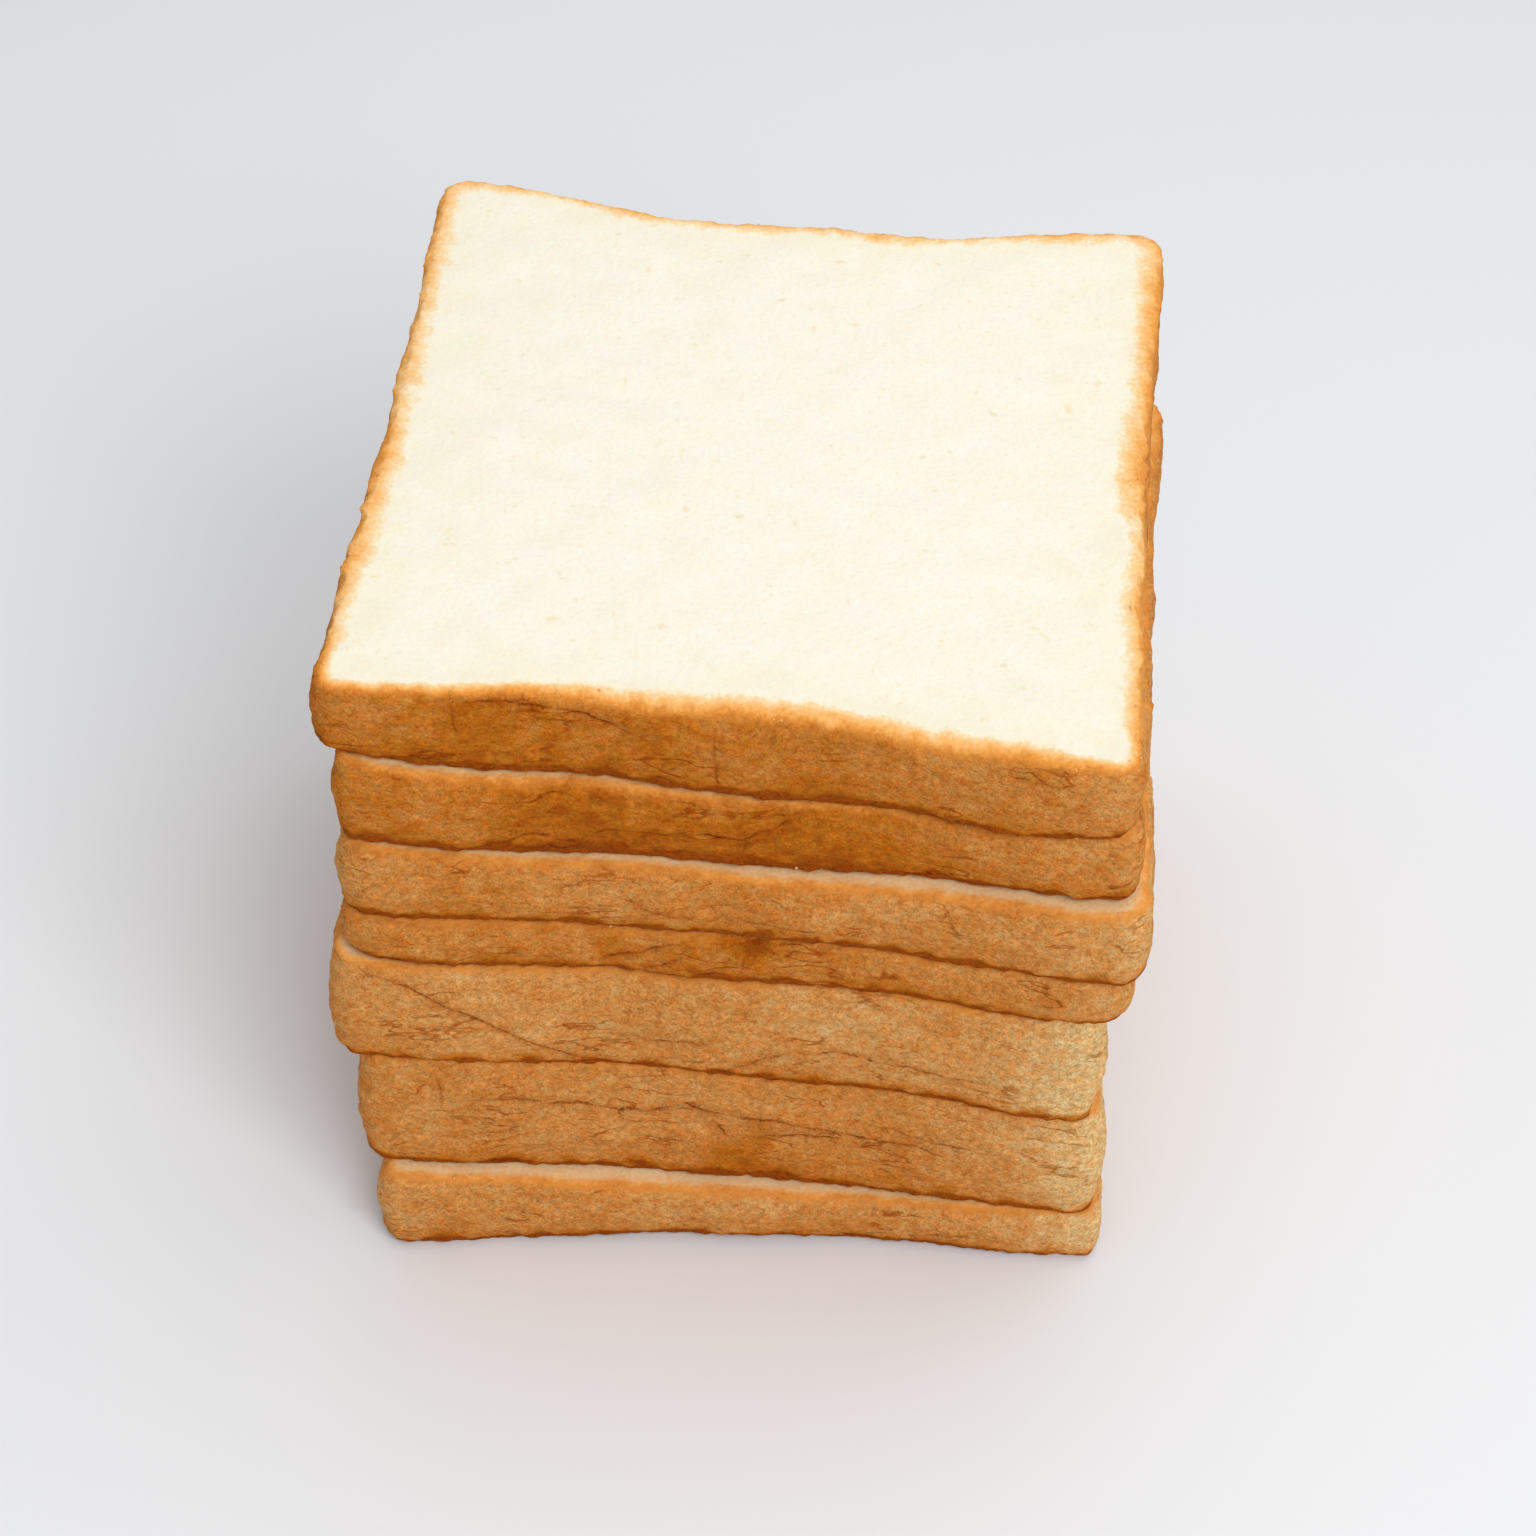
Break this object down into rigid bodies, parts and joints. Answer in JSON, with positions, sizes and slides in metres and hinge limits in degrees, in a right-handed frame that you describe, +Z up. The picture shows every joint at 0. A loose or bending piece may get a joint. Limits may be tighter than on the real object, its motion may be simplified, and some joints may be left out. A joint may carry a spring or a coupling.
{
  "type": "sliced tin loaf",
  "caption": "Square white tin loaf standing on end, cut into uneven soft slices that stay stacked as the whole loaf, with caved-in browned sides and pale crumb.",
  "frame": {"origin": "middle of the underside of the loaf as it stands on end: the middle of its bounding box in plan, at the level it rests on", "axes": "+Z up along the loaf's length, through the stacked slices; +X to the right and +Y to the back, along the sides of the square section, with the front side facing -Y"},
  "size_m": [0.1372, 0.1346, 0.1292],
  "materials": {
    "bread": "matt baked crust, golden brown and finely mottled, round a cream-white crumb with fine pores"
  },
  "bodies": {
    "root": {"slice_1": "bread", "slice_2": "bread", "slice_3": "bread", "slice_4": "bread", "slice_5": "bread", "slice_6": "bread", "slice_7": "bread"}
  },
  "joints": []
}
